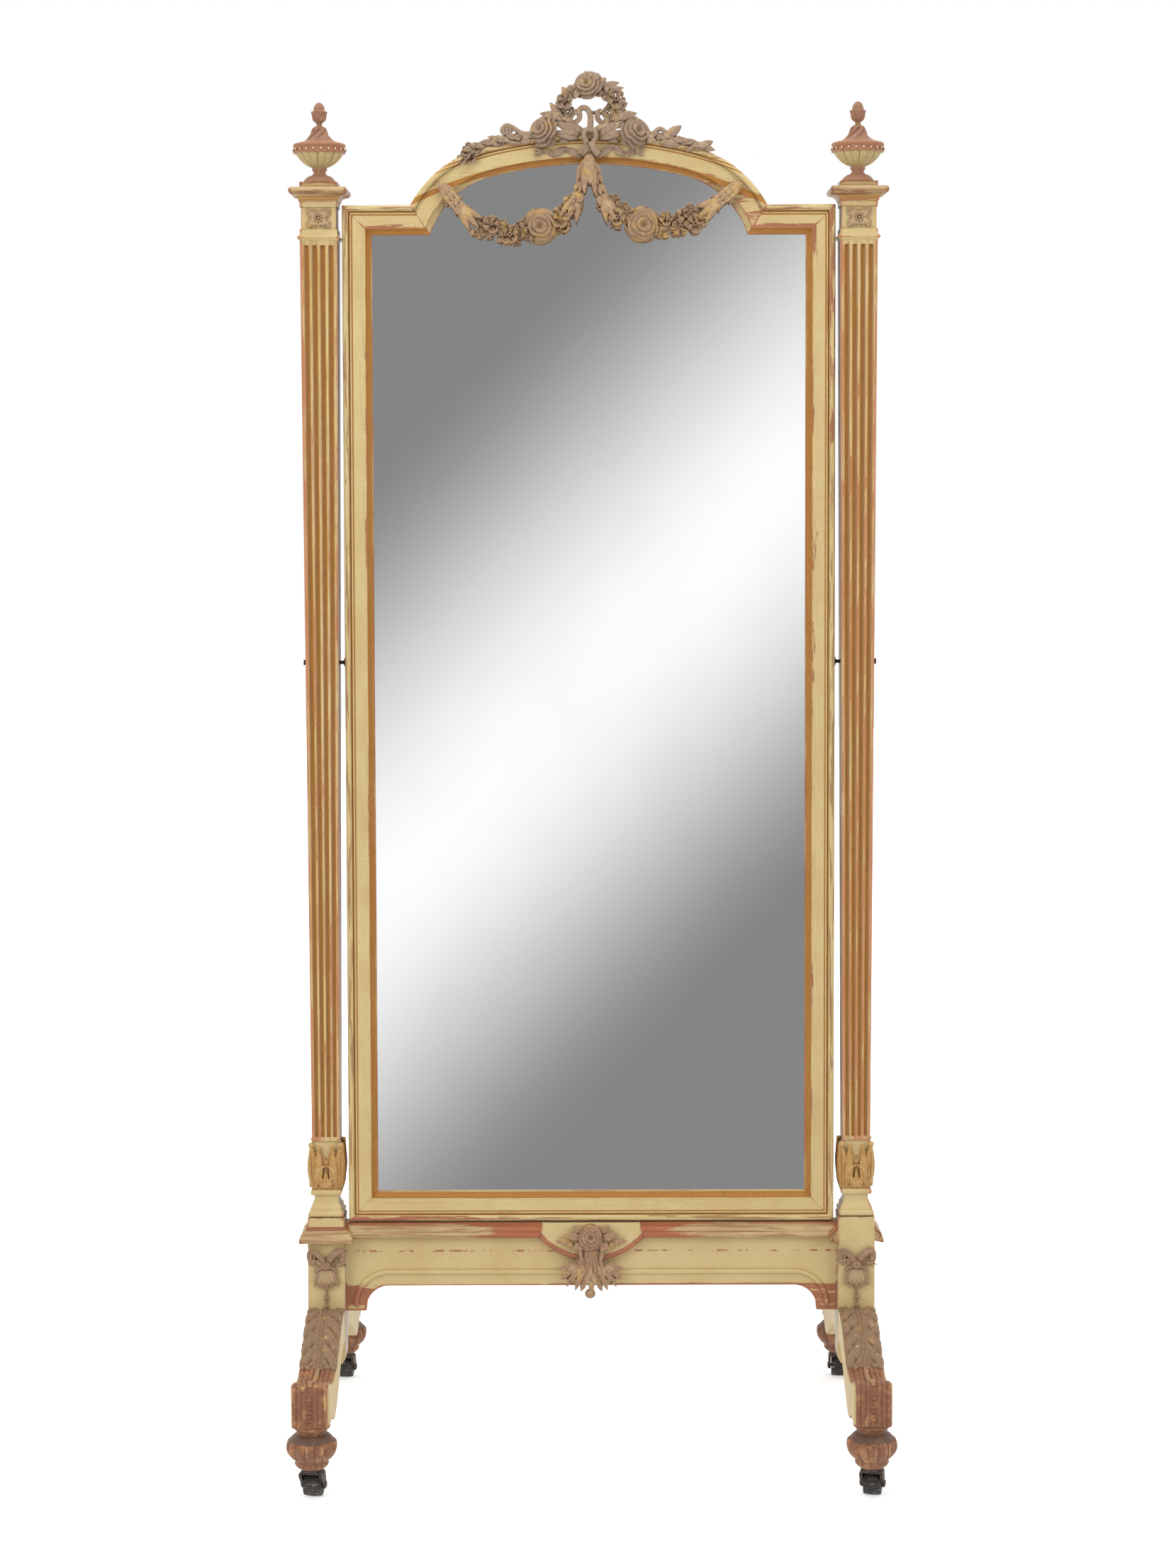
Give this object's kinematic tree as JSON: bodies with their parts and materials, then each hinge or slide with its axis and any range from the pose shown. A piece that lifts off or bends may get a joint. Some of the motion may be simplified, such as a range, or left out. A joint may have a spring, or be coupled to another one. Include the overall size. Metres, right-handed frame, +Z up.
{
  "type": "cheval mirror",
  "caption": "Full-length dressing mirror with an arched, shouldered frame that tilts between fluted posts on carved legs with swivelling casters.",
  "frame": {"origin": "on the floor at the middle of the stand, under the middle of the rail", "axes": "+Z up, +X to the right seen from the front, the glass faces -Y"},
  "size_m": [0.9272, 0.7066, 2.1485],
  "materials": {
    "aged_paint": "aged cream paint over terracotta ground, worn",
    "aged_gilding": "carved wood, ochre and gold, rubbed",
    "carved_wood": "carved wood, taupe with traces of gold",
    "worn_bole": "carved wood, reddish brown ground with traces of gold",
    "bare_softwood": "unpainted, darkened",
    "silvered_glass": "silvered plate glass",
    "caster_iron": "dark, slightly rusted",
    "wheel_iron": "rough and scuffed",
    "pivot_iron": "dark, rubbed"
  },
  "bodies": {
    "stand": {"left_bow": "carved_wood", "left_capital": "aged_paint", "left_front_bun_foot": "worn_bole", "left_front_caster_plate": "caster_iron", "left_front_leg": "aged_paint", "left_leaf_collar": "aged_gilding", "left_post": "aged_paint", "left_rear_bun_foot": "worn_bole", "left_rear_caster_plate": "caster_iron", "left_rear_leg": "aged_paint", "left_rosette": "carved_wood", "left_urn": "aged_gilding", "left_urn_lid": "aged_gilding", "left_waist_moulding": "worn_bole", "rail": "aged_paint", "rail_moulding": "aged_paint", "rail_ornament": "carved_wood", "right_bow": "carved_wood", "right_capital": "aged_paint", "right_front_bun_foot": "worn_bole", "right_front_caster_plate": "caster_iron", "right_front_leg": "aged_paint", "right_leaf_collar": "aged_gilding", "right_post": "aged_paint", "right_rear_bun_foot": "worn_bole", "right_rear_caster_plate": "caster_iron", "right_rear_leg": "aged_paint", "right_rosette": "carved_wood", "right_urn": "aged_gilding", "right_urn_lid": "aged_gilding", "right_waist_moulding": "worn_bole"},
    "mirror": {"frame_arch": "aged_paint", "frame_left_shoulder": "aged_paint", "frame_right_shoulder": "aged_paint", "frame_left_stile": "aged_paint", "frame_right_stile": "aged_paint", "frame_bottom_rail": "aged_paint", "glass": "silvered_glass", "back_board": "bare_softwood", "back_battens": "bare_softwood", "crest": "carved_wood", "husk_drop": "carved_wood", "left_swag": "carved_wood", "right_swag": "carved_wood", "left_pivot_plate": "pivot_iron", "right_pivot_plate": "pivot_iron", "left_pivot_bolt": "pivot_iron", "right_pivot_bolt": "pivot_iron"},
    "left_front_swivel": {"left_front_fork": "caster_iron", "left_front_axle": "caster_iron"},
    "left_front_roller": {"left_front_wheel": "wheel_iron"},
    "left_rear_swivel": {"left_rear_fork": "caster_iron", "left_rear_axle": "caster_iron"},
    "left_rear_roller": {"left_rear_wheel": "wheel_iron"},
    "right_front_swivel": {"right_front_fork": "caster_iron", "right_front_axle": "caster_iron"},
    "right_front_roller": {"right_front_wheel": "wheel_iron"},
    "right_rear_swivel": {"right_rear_fork": "caster_iron", "right_rear_axle": "caster_iron"},
    "right_rear_roller": {"right_rear_wheel": "wheel_iron"}
  },
  "joints": [
    {"name": "mirror_tilt", "type": "hinge", "parent": "stand", "child": "mirror", "pos_m": [0, 0, 1.233], "axis": [1, 0, 0], "range_deg": [-165, 165]},
    {"name": "left_front_swivel_turn", "type": "hinge", "parent": "stand", "child": "left_front_swivel", "pos_m": [-0.4185, -0.315, 0.04], "axis": [0, 0, 1], "continuous": true},
    {"name": "left_front_wheel_spin", "type": "hinge", "parent": "left_front_swivel", "child": "left_front_roller", "pos_m": [-0.41662, -0.30315, 0.018], "axis": [0.9877, -0.1564, 0], "continuous": true},
    {"name": "left_rear_swivel_turn", "type": "hinge", "parent": "stand", "child": "left_rear_swivel", "pos_m": [-0.4185, 0.315, 0.04], "axis": [0, 0, 1], "continuous": true},
    {"name": "left_rear_wheel_spin", "type": "hinge", "parent": "left_rear_swivel", "child": "left_rear_roller", "pos_m": [-0.41745, 0.32695, 0.018], "axis": [0.9962, -0.0872, 0], "continuous": true},
    {"name": "right_front_swivel_turn", "type": "hinge", "parent": "stand", "child": "right_front_swivel", "pos_m": [0.4185, -0.315, 0.04], "axis": [0, 0, 1], "continuous": true},
    {"name": "right_front_wheel_spin", "type": "hinge", "parent": "right_front_swivel", "child": "right_front_roller", "pos_m": [0.42079, -0.30322, 0.018], "axis": [0.9816, -0.1908, 0], "continuous": true},
    {"name": "right_rear_swivel_turn", "type": "hinge", "parent": "stand", "child": "right_rear_swivel", "pos_m": [0.4185, 0.315, 0.04], "axis": [0, 0, 1], "continuous": true},
    {"name": "right_rear_wheel_spin", "type": "hinge", "parent": "right_rear_swivel", "child": "right_rear_roller", "pos_m": [0.41934, 0.32697, 0.018], "axis": [0.9976, -0.0698, 0], "continuous": true}
  ]
}
